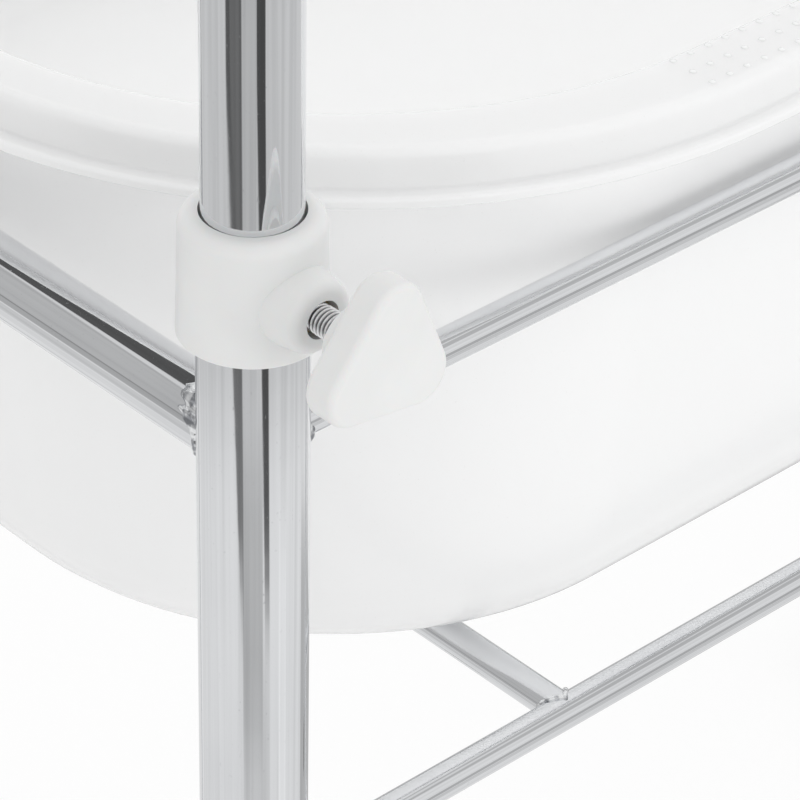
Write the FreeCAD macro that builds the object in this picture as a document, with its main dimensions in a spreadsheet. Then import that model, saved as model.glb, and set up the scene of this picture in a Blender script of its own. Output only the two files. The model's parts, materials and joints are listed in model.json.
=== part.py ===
import FreeCAD, Part
import math
import os
import re
import Sketcher
from FreeCAD import Vector

# A pet bathtub on a welded tube stand, in millimetres.
# The origin is the middle of the sole under the post that carries the mast (front left).
# +X runs along the front side, +Y to the rear, +Z up.

doc = FreeCAD.newDocument("pet_bathtub")
sheet = doc.addObject("Spreadsheet::Sheet", "Sizes")

sizes = {
    # stand
    "span_long": 800.0,          # post axis to post axis, along the front
    "span_wide": 450.0,          # post axis to post axis, front to rear
    "rail_height": 740.0,        # axis of the upper rails above the floor
    "post_dia": 28.6,
    "post_wall": 1.2,
    "post_above_rail": 60.0,     # post end above the rail axis
    "end_rail_dia": 20.0,
    "end_rail_wall": 1.2,
    "bar_dia": 10.0,             # side rails, lower bars and cross members
    "bar_wall": 1.5,
    "lower_drop": 146.0,         # lower bar axis below the rail axis
    "cross_inset": 116.0,        # cross member axis from the post axis
    "weld_throat": 2.2,          # radius of a weld bead
    # rubber feet and post caps
    "foot_sole": 4.0,
    "foot_skin": 3.0,
    "foot_grip": 28.0,           # length of post inside the foot
    "foot_edge": 1.5,
    "push_play": 0.05,           # radial play of caps, feet and plugs in tubes
    "cap_rim": 2.5,
    "cap_dome": 5.0,
    "cap_plug": 18.0,
    "cap_skin": 2.0,
    # clamp collar on the mast post
    "collar_top_dia": 36.4,
    "collar_base_dia": 38.0,
    "collar_cover": 25.8,        # length of post inside the collar
    "collar_brow": 7.6,          # collar above the post's end
    "collar_bore": 26.6,
    "bore_shift": 0.4,           # upper bore off the mast axis, both ways, as a mast leans in it
    "collar_play": 0.1,          # radial play between collar and post
    "collar_edge": 4.0,
    "boss_root_dia": 22.5,
    "boss_end_dia": 19.0,
    "boss_reach": 25.6,          # boss end from the mast axis
    "boss_edge": 3.0,
    "boss_mouth_dia": 10.2,
    "boss_mouth_depth": 4.0,
    "insert_dia": 13.0,
    "insert_length": 6.0,
    "screw_drop": 11.4,          # screw axis below the post's end
    # clamp screw, pad and knob
    "screw_dia": 8.0,
    "thread_play": 0.05,
    "screw_in_knob": 10.0,
    "pad_dia": 7.0,
    "pad_thick": 2.6,
    "pad_play": 0.05,            # pad to mast when clamped
    "stem_dia": 4.0,
    "stem_length": 3.0,
    "stem_play": 0.05,
    "pad_hole_dia": 9.0,
    "hub_gap": 9.8,              # bare screw between boss and knob hub when clamped
    "hub_dia": 18.0,
    "hub_length": 5.5,
    "knob_thick": 9.6,
    "knob_lobe": 8.6,            # radius of each of the three lobes
    "knob_throw": 12.1,          # lobe centre from the screw axis
    "knob_turn": -8.0,           # angle of the upper lobe from the vertical
    "knob_edge": 1.8,
    # mast
    "mast_dia": 25.4,
    "mast_wall": 1.2,
    "mast_tail": 300.0,          # mast below the post's end
    "mast_rise": 540.0,          # arm axis above the post's end
    "arm_bend": 70.0,
    "arm_reach": 380.0,          # arm tip from the mast axis
    "glide_flange": 4.0,
    "glide_spigot": 18.0,
    "glide_play": 0.05,
    "tip_dome": 4.0,
    "eye_dia": 26.0,             # centre line of the tether eyes
    "eye_wire": 5.0,
    "eye_from_tip": 24.0,
    "eye_pitch": 150.0,
    # tub
    "side_clear": 1.9,           # tub wall to side rail
    "end_clear": 8.8,            # tub wall to end rail
    "seat_gap": 0.3,             # tub floor to cross members
    "tub_draft": 7.2,            # lean of the walls, in degrees
    "rim_above_rail": 54.3,
    "tub_wall": 3.5,
    "tub_floor": 4.0,
    "mouth_radius": 142.0,       # plan corner of the walls at the rim
    "base_edge": 25.0,
    "rim_side": 18.4,            # tub wall to rim skirt on the long sides
    "rim_end": 13.5,             # tub wall to rim skirt on the short sides
    "rim_radius": 158.0,
    "rim_drop": 15.3,            # rim top to the underside of the lip
    "rim_edge": 3.0,
    "lip_out": 4.5,
    "lip_thick": 3.4,
    "lip_edge": 1.2,
    # drain
    "drain_from_end": 200.0,     # drain axis from the right-hand posts' axis
    "sump_dia": 74.0,
    "sump_depth": 10.0,
    "flange_dia": 62.0,
    "flange_thick": 2.5,
    "tail_dia": 41.9,
    "tail_bore": 35.0,
    "tail_length": 34.0,
    "spigot_dia": 40.0,          # plain end of the tail that takes a hose
    "spigot_length": 18.0,
    "relief_dia": 38.8,          # run-out groove between thread and spigot
    "relief_width": 1.0,
    "tail_play": 0.3,
    "gasket_dia": 60.0,
    "gasket_thick": 2.0,
    "nut_dia": 62.0,
    "nut_thick": 9.0,
    "bridge_width": 4.0,
    "bridge_drop": 14.0,
    "bung_play": 0.3,
    "bung_depth": 10.0,
    "bung_taper": 1.2,
    "seal_wire": 2.4,
    "bung_head_dia": 46.0,
    "bung_head": 2.5,
    "grip_length": 24.0,
    "grip_width": 5.0,
    "grip_height": 4.5,
}

for row, (alias, value) in enumerate(sizes.items(), start=1):
    sheet.set("A%d" % row, alias.replace("_", " "))
    sheet.set("B%d" % row, repr(value))
    sheet.setAlias("B%d" % row, alias)
doc.recompute()


def bound(text):
    """Turn a formula of size names into an expression that reads the sheet."""
    return re.sub(r"[a-z_]+", lambda word: "Sizes." + word.group(0)
                  if word.group(0) in sizes else word.group(0), text)


def value(text):
    """Work a formula of size names out, in mm or degrees."""
    result = sheet.evalExpression(bound(text))
    return float(getattr(result, "Value", result))


def distance(text):
    """Turn a formula of size names into an expression for a property that is a length."""
    return "(%s) * 1 mm" % bound(text)


# Places that several pieces share, as formulas of the sizes.
post_end = "(rail_height + post_above_rail)"
lower_axis = "(rail_height - lower_drop)"
screw_height = "(%s - screw_drop)" % post_end
rim_top = "(rail_height + rim_above_rail)"
tub_base = "(%s + bar_dia / 2 + seat_gap)" % lower_axis
side_wall = "(bar_dia / 2 + side_clear)"
end_wall = "(end_rail_dia / 2 + end_clear)"
mouth_side = "(%s - rim_above_rail * tan(tub_draft))" % side_wall
mouth_end = "(%s - rim_above_rail * tan(tub_draft))" % end_wall
arm_height = "(%s + mast_rise)" % post_end
mast_foot = "(%s - mast_tail)" % post_end
pad_face = "(mast_dia / 2 + pad_play)"
screw_tip = "(%s + pad_thick)" % pad_face
hub_face = "(boss_reach + hub_gap)"
knob_back = "(%s + hub_length)" % hub_face
sump_floor = "(%s + tub_floor - sump_depth)" % tub_base
drain_x = "(span_long - drain_from_end)"
drain_y = "(span_wide / 2)"
insertFront = "(boss_reach - boss_mouth_depth)"
insertBack = "(boss_reach - boss_mouth_depth - insert_length)"


# ---- helpers -------------------------------------------------------------------------

def newBody(name):
    body = doc.addObject("PartDesign::Body", name)
    body.Label = name
    return body


def place(body, x="0", y="0", z="0"):
    """Tie the body's place to formulas of the sizes."""
    for axis, formula in zip("xyz", (x, y, z)):
        if formula != "0":
            body.setExpression("Placement.Base." + axis, distance(formula))
    doc.recompute()


def sketchOn(body, role, lift="0"):
    """Open a sketch on one of the body's own planes, lifted along the plane's normal."""
    sketch = body.newObject("Sketcher::SketchObject", body.Name + "_sketch")
    plane = [item for item in body.Origin.OriginFeatures if item.Role == role][0]
    sketch.AttachmentSupport = [(plane, "")]
    sketch.MapMode = "FlatFace"
    if lift != "0":
        sketch.setExpression("AttachmentOffset.Base.z", distance(lift))
    doc.recompute()
    return sketch


def pin(sketch, geometry, point, x, y):
    """Hold a sketch point at two formulas, measured from the sketch's origin."""
    for kind, formula in (("DistanceX", x), ("DistanceY", y)):
        index = sketch.addConstraint(Sketcher.Constraint(kind, -1, 1, geometry, point, value(formula)))
        sketch.setExpression("Constraints[%d]" % index, bound(formula))


def ring(sketch, *radii, x="0", y="0"):
    """Draw circles on one centre."""
    for radius in radii:
        centre = Vector(value(x), value(y), 0)
        circle = sketch.addGeometry(Part.Circle(centre, Vector(0, 0, 1), value(radius)), False)
        pin(sketch, circle, 3, x, y)
        index = sketch.addConstraint(Sketcher.Constraint("Radius", circle, value(radius)))
        sketch.setExpression("Constraints[%d]" % index, bound(radius))


def outline(sketch, corners):
    """Draw a closed outline of straight lines through corners given as pairs of formulas."""
    spots = [Vector(value(x), value(y), 0) for x, y in corners]
    first = None
    for number, (x, y) in enumerate(corners):
        line = Part.LineSegment(spots[number], spots[(number + 1) % len(corners)])
        index = sketch.addGeometry(line, False)
        first = index if first is None else first
        pin(sketch, index, 1, x, y)
        if number:
            sketch.addConstraint(Sketcher.Constraint("Coincident", index - 1, 2, index, 1))
    sketch.addConstraint(Sketcher.Constraint("Coincident", index, 2, first, 1))


def roundedBox(sketch, x, y, radius):
    """Draw a rectangle with round corners, x and y its distances inside the post axes."""
    left, front, round_ = value(x), value(y), value(radius)
    right, rear = value("span_long") - left, value("span_wide") - front
    centres = [(left + round_, front + round_), (right - round_, front + round_),
               (right - round_, rear - round_), (left + round_, rear - round_)]
    formulas = [(x + " + " + radius, y + " + " + radius),
                ("span_long - %s - %s" % (x, radius), y + " + " + radius),
                ("span_long - %s - %s" % (x, radius), "span_wide - %s - %s" % (y, radius)),
                (x + " + " + radius, "span_wide - %s - %s" % (y, radius))]
    arcs = []
    for quarter, (cx, cy) in enumerate(centres):
        start = math.pi + quarter * math.pi / 2
        circle = Part.Circle(Vector(cx, cy, 0), Vector(0, 0, 1), round_)
        arcs.append(sketch.addGeometry(Part.ArcOfCircle(circle, start, start + math.pi / 2), False))
    for quarter, arc in enumerate(arcs):
        tail = sketch.getPoint(arc, 2)
        head = sketch.getPoint(arcs[(quarter + 1) % 4], 1)
        line = sketch.addGeometry(Part.LineSegment(tail, head), False)
        sketch.addConstraint(Sketcher.Constraint("Tangent", arc, 2, line, 1))
        sketch.addConstraint(Sketcher.Constraint("Tangent", line, 2, arcs[(quarter + 1) % 4], 1))
        if quarter < 3:
            sketch.addConstraint(Sketcher.Constraint(("Horizontal", "Vertical")[quarter % 2], line))
    for arc, (cx, cy) in zip(arcs, formulas):
        pin(sketch, arc, 3, cx, cy)
    index = sketch.addConstraint(Sketcher.Constraint("Radius", arcs[0], round_))
    sketch.setExpression("Constraints[%d]" % index, bound(radius))


def pad(body, sketch, length, away=False, middle=False, taper=None):
    feature = body.newObject("PartDesign::Pad", body.Name + "_pad")
    feature.Profile = sketch
    feature.setExpression("Length", bound(length))
    if taper:
        feature.setExpression("TaperAngle", bound(taper))
    feature.Reversed = away
    feature.Midplane = middle
    doc.recompute()
    return feature


def pocket(body, sketch, length, away=False, middle=False, taper=None):
    """Cut the sketch's outline out, and make sure that it took something away."""
    before = body.Shape.Volume
    feature = body.newObject("PartDesign::Pocket", body.Name + "_pocket")
    feature.Profile = sketch
    feature.setExpression("Length", bound(length))
    if taper:
        feature.setExpression("TaperAngle", bound(taper))
    feature.Reversed = away
    feature.Midplane = middle
    doc.recompute()
    if not body.Shape.Volume < before - 1e-3:
        raise ValueError(body.Label + ": a pocket cuts nothing")
    return feature


def turn(body, sketch, kind="PartDesign::Revolution", about="V_Axis"):
    feature = body.newObject(kind, body.Name + "_turn")
    feature.Profile = sketch
    feature.ReferenceAxis = (sketch, [about])
    feature.Angle = 360.0
    doc.recompute()
    return feature


def soften(body, radius, chosen):
    """Round the edges of the body for which chosen(edge) holds."""
    base = body.Tip
    names = ["Edge%d" % (number + 1) for number, edge in enumerate(base.Shape.Edges) if chosen(edge)]
    feature = body.newObject("PartDesign::Fillet", body.Name + "_fillet")
    feature.Base = (base, names)
    feature.setExpression("Radius", bound(radius))
    doc.recompute()
    return feature


def flatAt(height, tolerance=0.01):
    """Choose edges that lie level at a height in the body's own frame."""
    return lambda edge: (abs(edge.BoundBox.ZMin - height) < tolerance
                         and abs(edge.BoundBox.ZMax - height) < tolerance)


# ---- stand ---------------------------------------------------------------------------

corners = {"front_left": ("0", "0"), "front_right": ("span_long", "0"),
           "rear_left": ("0", "span_wide"), "rear_right": ("span_long", "span_wide")}
mastCorner = "front_left"


def makePost(name, x, y):
    """Stand a tube on the sole of its rubber foot."""
    body = newBody(name)
    ring(sketchOn(body, "XY_Plane"), "post_dia / 2", "post_dia / 2 - post_wall")
    pad(body, body.Group[-1], "%s - foot_sole" % post_end)
    place(body, x, y, "foot_sole")
    return body


def drillPost(body):
    """Drill the front wall of the mast post for the pressure pad."""
    sketch = sketchOn(body, "XZ_Plane")
    ring(sketch, "pad_hole_dia / 2", y="%s - foot_sole" % screw_height)
    pocket(body, sketch, "post_dia", away=True)


def makeRail(name, along, outer, wall, x, y, z):
    """Weld a tube between two posts, its ends cut to their round surface."""
    body = newBody(name)
    span = "span_long" if along == "x" else "span_wide"
    sketch = sketchOn(body, "YZ_Plane" if along == "x" else "XZ_Plane")
    ring(sketch, outer + " / 2", "%s / 2 - %s" % (outer, wall))
    pad(body, sketch, span, away=(along == "y"))
    cope = sketchOn(body, "XY_Plane")
    ring(cope, "post_dia / 2")
    ring(cope, "post_dia / 2", **{along: span})
    pocket(body, cope, "2 * " + outer, middle=True)
    place(body, x, y, z)


def makeCrossMember(name, x):
    """Weld a tube between the two lower bars, its ends cut to their round surface."""
    body = newBody(name)
    sketch = sketchOn(body, "XZ_Plane")
    ring(sketch, "bar_dia / 2", "bar_dia / 2 - bar_wall")
    pad(body, sketch, "span_wide", away=True)
    cope = sketchOn(body, "YZ_Plane")
    ring(cope, "bar_dia / 2")
    ring(cope, "bar_dia / 2", x="span_wide")
    pocket(body, cope, "2 * bar_dia", middle=True)
    place(body, x, "0", lower_axis)


def makeFoot(name, x, y):
    """Turn a rubber cup that the post stands in."""
    body = newBody(name)
    bore = "post_dia / 2 + push_play"
    skin = bore + " + foot_skin"
    top = "foot_sole + foot_grip"
    outline(sketchOn(body, "XZ_Plane"), [("0", "0"), (skin, "0"), (skin, top), (bore, top),
                                         (bore, "foot_sole"), ("0", "foot_sole")])
    turn(body, body.Group[-1])
    reach = value(skin)
    soften(body, "foot_edge", lambda edge: abs(edge.BoundBox.XMax - reach) < 0.01
           and edge.BoundBox.ZLength < 0.01)
    place(body, x, y, "0")


def makeCap(name, x, y):
    """Turn a hollow plug with a rounded head for a post that carries no mast."""
    body = newBody(name)
    head = "post_dia / 2"
    plug = "post_dia / 2 - post_wall - push_play"
    hollow = plug + " - cap_skin"
    top = "cap_rim + cap_dome"
    outline(sketchOn(body, "XZ_Plane"), [("0", "cap_rim"), (hollow, "cap_rim"), (hollow, "-cap_plug"),
                                         (plug, "-cap_plug"), (plug, "0"), (head, "0"),
                                         (head, top), ("0", top)])
    turn(body, body.Group[-1])
    soften(body, "cap_dome", flatAt(value(top)))
    place(body, x, y, post_end)


def makeWelds():
    """Lay a bead round every welded end, cut where the tubes themselves are."""
    joints = []
    for cornerX, cornerY in corners.values():
        inX = 1 if cornerX == "0" else -1
        inY = 1 if cornerY == "0" else -1
        for outer, height, axis, sign in (("end_rail_dia", "rail_height", "y", inY),
                                          ("bar_dia", "rail_height", "x", inX),
                                          ("bar_dia", lower_axis, "x", inX)):
            reach = "%d * sqrt((post_dia / 2) ^ 2 - (%s / 4) ^ 2)" % (sign, outer)
            x = cornerX + " + " + reach if axis == "x" else cornerX
            y = cornerY + " + " + reach if axis == "y" else cornerY
            joints.append((outer, axis, x, y, height))
    for x in ("cross_inset", "span_long - cross_inset"):
        joints.append(("bar_dia", "y", x, "sqrt((bar_dia / 2) ^ 2 - (bar_dia / 4) ^ 2)", lower_axis))
        joints.append(("bar_dia", "y", x, "span_wide - sqrt((bar_dia / 2) ^ 2 - (bar_dia / 4) ^ 2)",
                       lower_axis))
    beads = []
    for outer, axis, x, y, height in joints:
        bead = doc.addObject("Part::Torus", "bead")
        bead.setExpression("Radius1", bound(outer + " / 2"))
        bead.setExpression("Radius2", bound("weld_throat"))
        bead.Placement.Rotation = FreeCAD.Rotation(Vector(0, 0, 1), Vector(axis == "x", axis == "y", 0))
        place(bead, x, y, height)
        beads.append(bead)
    tubes = []
    for x, y in corners.values():
        tubes.append(solidBar("z", "post_dia", post_end, x, y, "0"))
    for y in ("0", "span_wide"):
        tubes.append(solidBar("x", "bar_dia", "span_long", "0", y, "rail_height"))
        tubes.append(solidBar("x", "bar_dia", "span_long", "0", y, lower_axis))
    for x in ("0", "span_long"):
        tubes.append(solidBar("y", "end_rail_dia", "span_wide", x, "0", "rail_height"))
    for x in ("cross_inset", "span_long - cross_inset"):
        tubes.append(solidBar("y", "bar_dia", "span_wide", x, "0", lower_axis))
    allBeads = doc.addObject("Part::Compound", "all_beads")
    allBeads.Links = beads
    allTubes = doc.addObject("Part::MultiFuse", "all_tubes")
    allTubes.Shapes = tubes
    welds = doc.addObject("Part::Cut", "weld_beads")
    welds.Base = allBeads
    welds.Tool = allTubes
    welds.Label = "weld_beads"
    doc.recompute()
    return welds


def solidBar(axis, outer, length, x, y, z):
    """Make the solid round bar that fills a tube, as a cutter."""
    bar = doc.addObject("Part::Cylinder", "cutter")
    bar.setExpression("Radius", bound(outer + " / 2"))
    bar.setExpression("Height", bound(length))
    bar.Placement.Rotation = FreeCAD.Rotation(Vector(0, 0, 1), Vector(axis == "x", axis == "y", axis == "z"))
    place(bar, x, y, z)
    return bar


# ---- clamp on the mast post ----------------------------------------------------------

def makeCollar():
    """Turn the collar, add its boss, then bore it for the post, the mast and the screw."""
    body = newBody("clamp_collar")
    base = "collar_base_dia / 2"
    top = "collar_top_dia / 2"
    tall = "collar_cover + collar_brow"
    screwUp = "collar_cover - screw_drop"
    outline(sketchOn(body, "XZ_Plane"), [("0", "0"), (base, "0"), (top, tall), ("0", tall)])
    turn(body, body.Group[-1])
    soften(body, "collar_edge", flatAt(value(tall)))
    boss = sketchOn(body, "YZ_Plane")
    boss.setExpression("AttachmentOffset.Base.y", distance(screwUp))
    outline(boss, [("-post_dia / 4", "0"), ("-boss_reach", "0"), ("-boss_reach", "boss_end_dia / 2"),
                   ("-post_dia / 2", "boss_root_dia / 2"), ("-post_dia / 4", "boss_root_dia / 2")])
    turn(body, boss, about="H_Axis")
    reach = value("boss_reach")
    soften(body, "boss_edge", lambda edge: abs(edge.BoundBox.YMin + reach) < 0.01
           and edge.BoundBox.YLength < 0.01)
    sleeve = sketchOn(body, "XY_Plane")
    ring(sleeve, "post_dia / 2 + collar_play")
    pocket(body, sleeve, "collar_cover", away=True)
    bore = sketchOn(body, "XY_Plane")
    ring(bore, "collar_bore / 2", x="bore_shift", y="bore_shift")
    pocket(body, bore, tall, away=True)
    hole = sketchOn(body, "YZ_Plane")
    hole.setExpression("AttachmentOffset.Base.y", distance(screwUp))
    passage = "screw_dia / 2 + 2 * thread_play"
    outline(hole, [("0", "0"), ("0", passage), ("-" + insertBack, passage),
                   ("-" + insertBack, "insert_dia / 2"), ("-" + insertFront, "insert_dia / 2"),
                   ("-" + insertFront, "boss_mouth_dia / 2"), ("-boss_reach - 1", "boss_mouth_dia / 2"),
                   ("-boss_reach - 1", "0")])
    turn(body, hole, "PartDesign::Groove", "H_Axis")
    place(body, "0", "0", "%s - collar_cover" % post_end)


def axisTurned(name, corners_, z):
    """Turn a piece about the screw axis from points (distance along -Y, radius)."""
    body = newBody(name)
    outline(sketchOn(body, "YZ_Plane"), [("-" + reach, radius) for reach, radius in corners_])
    turn(body, body.Group[-1], about="H_Axis")
    place(body, "0", "0", z)
    return body


def makeInsert():
    bore = "screw_dia / 2 + thread_play"
    axisTurned("thread_insert", [(insertFront, bore), (insertFront, "insert_dia / 2"),
                                 (insertBack, "insert_dia / 2"), (insertBack, bore)], screw_height)


def makeScrew():
    """Turn the screw with a socket in its tip for the stem of the pad."""
    socket = "stem_dia / 2 + stem_play"
    socketEnd = "(%s + stem_length + 2 * stem_play)" % screw_tip
    rear = "(%s + screw_in_knob)" % hub_face
    axisTurned("clamp_screw", [(screw_tip, socket), (screw_tip, "screw_dia / 2"), (rear, "screw_dia / 2"),
                               (rear, "0"), (socketEnd, "0"), (socketEnd, socket)], screw_height)


def makePressurePad():
    """Turn the pad with its stem and hollow its face to the curve of the mast."""
    start = "(mast_dia / 2 - pad_thick / 4)"
    stemEnd = "(%s + stem_length)" % screw_tip
    body = axisTurned("pressure_pad", [(start, "0"), (start, "pad_dia / 2"), (screw_tip, "pad_dia / 2"),
                                       (screw_tip, "stem_dia / 2"), (stemEnd, "stem_dia / 2"),
                                       (stemEnd, "0")], screw_height)
    saddle = sketchOn(body, "XY_Plane")
    ring(saddle, pad_face)
    pocket(body, saddle, "2 * pad_dia", middle=True)


def makeKnob():
    """Pad a three-lobed outline and a round hub, and sink the bore for the screw."""
    body = newBody("clamp_knob")
    sketch = sketchOn(body, "XZ_Plane", knob_back)
    radius = value("knob_lobe")
    lobes = []
    for number in range(3):
        angle = "knob_turn + %d" % (120 * number)
        x, z = "-knob_throw * sin(%s)" % angle, "knob_throw * cos(%s)" % angle
        middle = math.radians(value(angle) + 90)
        circle = Part.Circle(Vector(value(x), value(z), 0), Vector(0, 0, 1), radius)
        arc = Part.ArcOfCircle(circle, middle - math.pi / 3, middle + math.pi / 3)
        lobes.append((sketch.addGeometry(arc, False), x, z))
    for number, (arc, x, z) in enumerate(lobes):
        following = lobes[(number + 1) % 3][0]
        side = Part.LineSegment(sketch.getPoint(arc, 2), sketch.getPoint(following, 1))
        line = sketch.addGeometry(side, False)
        sketch.addConstraint(Sketcher.Constraint("Tangent", arc, 2, line, 1))
        sketch.addConstraint(Sketcher.Constraint("Tangent", line, 2, following, 1))
    for arc, x, z in lobes:
        pin(sketch, arc, 3, x, z)
        index = sketch.addConstraint(Sketcher.Constraint("Radius", arc, radius))
        sketch.setExpression("Constraints[%d]" % index, bound("knob_lobe"))
    pad(body, sketch, "knob_thick")
    near, far = -value(knob_back), -value(knob_back + " + knob_thick")
    soften(body, "knob_edge", lambda edge: edge.BoundBox.YLength < 0.01
           and min(abs(edge.BoundBox.YMin - near), abs(edge.BoundBox.YMin - far)) < 0.01)
    hub = sketchOn(body, "XZ_Plane", hub_face)
    ring(hub, "hub_dia / 2")
    pad(body, hub, "hub_length + knob_thick / 2")
    bore = sketchOn(body, "XZ_Plane", hub_face)
    ring(bore, "screw_dia / 2")
    pocket(body, bore, "screw_in_knob", away=True)
    place(body, "0", "0", screw_height)


# ---- mast ----------------------------------------------------------------------------

def aim(body, z):
    """Set a piece on the mast axis, its +X towards the middle of the tub."""
    body.Placement.Rotation = FreeCAD.Rotation(Vector(0, 0, 1), 1.0)
    body.setExpression("Placement.Rotation.Angle", bound("atan(span_wide / span_long)"))
    place(body, "0", "0", z)


def makeMast():
    """Bend one tube into the upright and the arm."""
    body = newBody("mast_tube")
    rise = "%s - %s - arm_bend" % (arm_height, mast_foot)
    path = sketchOn(body, "XZ_Plane")
    bend, up, out = value("arm_bend"), value(rise), value("arm_reach")
    upright = path.addGeometry(Part.LineSegment(Vector(0, 0, 0), Vector(0, up, 0)), False)
    circle = Part.Circle(Vector(bend, up, 0), Vector(0, 0, 1), bend)
    elbow = path.addGeometry(Part.ArcOfCircle(circle, math.pi / 2, math.pi), False)
    arm = path.addGeometry(Part.LineSegment(Vector(bend, up + bend, 0), Vector(out, up + bend, 0)), False)
    pin(path, upright, 1, "0", "0")
    pin(path, upright, 2, "0", rise)
    pin(path, arm, 1, "arm_bend", rise + " + arm_bend")
    pin(path, arm, 2, "arm_reach", rise + " + arm_bend")
    path.addConstraint(Sketcher.Constraint("Tangent", upright, 2, elbow, 2))
    path.addConstraint(Sketcher.Constraint("Coincident", elbow, 1, arm, 1))
    section = sketchOn(body, "XY_Plane")
    ring(section, "mast_dia / 2", "mast_dia / 2 - mast_wall")
    pipe = body.newObject("PartDesign::AdditivePipe", "mast_pipe")
    pipe.Profile = section
    pipe.Spine = path
    doc.recompute()
    aim(body, mast_foot)


def makeGlidePlug():
    """Turn the nylon plug that keeps the mast's lower end off the post wall."""
    body = newBody("glide_plug")
    flange = "mast_dia / 2"
    spigot = "mast_dia / 2 - mast_wall - glide_play"
    outline(sketchOn(body, "XZ_Plane"), [("0", "-glide_flange - glide_play"),
                                         (flange, "-glide_flange - glide_play"), (flange, "-glide_play"),
                                         (spigot, "-glide_play"), (spigot, "glide_spigot"),
                                         ("0", "glide_spigot")])
    turn(body, body.Group[-1])
    place(body, "0", "0", mast_foot)


def makeTipCap():
    """Turn the plug with a rounded head that closes the arm."""
    body = newBody("arm_tip_cap")
    plug = "mast_dia / 2 - mast_wall - push_play"
    end = "arm_reach + cap_rim + tip_dome"
    outline(sketchOn(body, "XZ_Plane"), [("arm_reach - cap_plug", "0"), ("arm_reach - cap_plug", plug),
                                         ("arm_reach", plug), ("arm_reach", "mast_dia / 2"),
                                         (end, "mast_dia / 2"), (end, "0")])
    turn(body, body.Group[-1], about="H_Axis")
    tip = value(end)
    soften(body, "tip_dome", lambda edge: abs(edge.BoundBox.XMin - tip) < 0.01)
    aim(body, arm_height)


def makeEye(name, fromTip):
    """Weld a ring under the arm, its top cut to the tube."""
    body = newBody(name)
    section = sketchOn(body, "YZ_Plane", "arm_reach - " + fromTip)
    section.setExpression("AttachmentOffset.Base.y", distance("-(mast_dia + eye_dia) / 2"))
    ring(section, "eye_wire / 2", y="eye_dia / 2")
    turn(body, section, about="H_Axis")
    tube = sketchOn(body, "YZ_Plane", "arm_reach - " + fromTip)
    ring(tube, "mast_dia / 2")
    pocket(body, tube, "2 * (eye_dia + eye_wire)", middle=True)
    aim(body, arm_height)


# ---- tub -----------------------------------------------------------------------------

def makeTub():
    """Pad the tapered basin, add the sump and the stepped rim, and hollow it out."""
    body = newBody("tub_shell")
    top = "(%s - %s)" % (rim_top, tub_base)
    walls = sketchOn(body, "XY_Plane", top)
    roundedBox(walls, mouth_end, mouth_side, "mouth_radius")
    pad(body, walls, top, away=True, taper="-tub_draft")
    basin = sketchOn(body, "XY_Plane", top)
    roundedBox(basin, "(%s + tub_wall)" % mouth_end, "(%s + tub_wall)" % mouth_side,
               "(mouth_radius - tub_wall)")
    pocket(body, basin, "%s - tub_floor" % top, taper="-tub_draft")
    soften(body, "(base_edge - tub_wall)", flatAt(value("tub_floor")))
    soften(body, "base_edge", flatAt(0))
    middle = {"x": drain_x, "y": drain_y}
    sump = sketchOn(body, "XY_Plane", "-sump_depth")
    ring(sump, "sump_dia / 2 + tub_wall", **middle)
    pad(body, sump, "sump_depth + tub_floor / 2")
    rimEnd, rimSide = "(%s - rim_end)" % mouth_end, "(%s - rim_side)" % mouth_side
    plate = sketchOn(body, "XY_Plane", "%s - tub_wall" % top)
    roundedBox(plate, rimEnd, rimSide, "rim_radius")
    roundedBox(plate, "(%s + tub_wall / 2)" % mouth_end, "(%s + tub_wall / 2)" % mouth_side,
               "(mouth_radius - tub_wall / 2)")
    pad(body, plate, "tub_wall")
    skirt = sketchOn(body, "XY_Plane", "%s - rim_drop" % top)
    roundedBox(skirt, rimEnd, rimSide, "rim_radius")
    roundedBox(skirt, "(%s + tub_wall)" % rimEnd, "(%s + tub_wall)" % rimSide, "(rim_radius - tub_wall)")
    pad(body, skirt, "rim_drop - tub_wall / 2")
    lip = sketchOn(body, "XY_Plane", "%s - rim_drop" % top)
    roundedBox(lip, "(%s - lip_out)" % rimEnd, "(%s - lip_out)" % rimSide, "(rim_radius + lip_out)")
    roundedBox(lip, "(%s + tub_wall / 2)" % rimEnd, "(%s + tub_wall / 2)" % rimSide,
               "(rim_radius - tub_wall / 2)")
    pad(body, lip, "lip_thick")
    well = sketchOn(body, "XY_Plane", "tub_floor - sump_depth")
    ring(well, "sump_dia / 2", **middle)
    pocket(body, well, "2 * sump_depth", away=True)
    drain = sketchOn(body, "XY_Plane", "-2 * sump_depth")
    ring(drain, "tail_dia / 2 + tail_play", **middle)
    pocket(body, drain, "3 * sump_depth", away=True)
    soften(body, "rim_edge", flatAt(value(top)))
    left = value("%s - lip_out" % rimEnd)
    soften(body, "lip_edge", outermost(left))
    place(body, "0", "0", tub_base)


def outermost(left):
    """Choose the level edges along the outside of the lip."""
    right, rear = value("span_long") - left, value("span_wide")
    front = value("%s - rim_side - lip_out" % mouth_side)
    box = (left, right, front, rear - front)

    def test(edge):
        limits = edge.BoundBox
        sides = (limits.XMin - box[0], limits.XMax - box[1], limits.YMin - box[2], limits.YMax - box[3])
        return limits.ZLength < 0.01 and min(abs(side) for side in sides) < 0.01
    return test


def centred(body, z):
    """Set a piece on the drain axis."""
    place(body, drain_x, drain_y, z)


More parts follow.
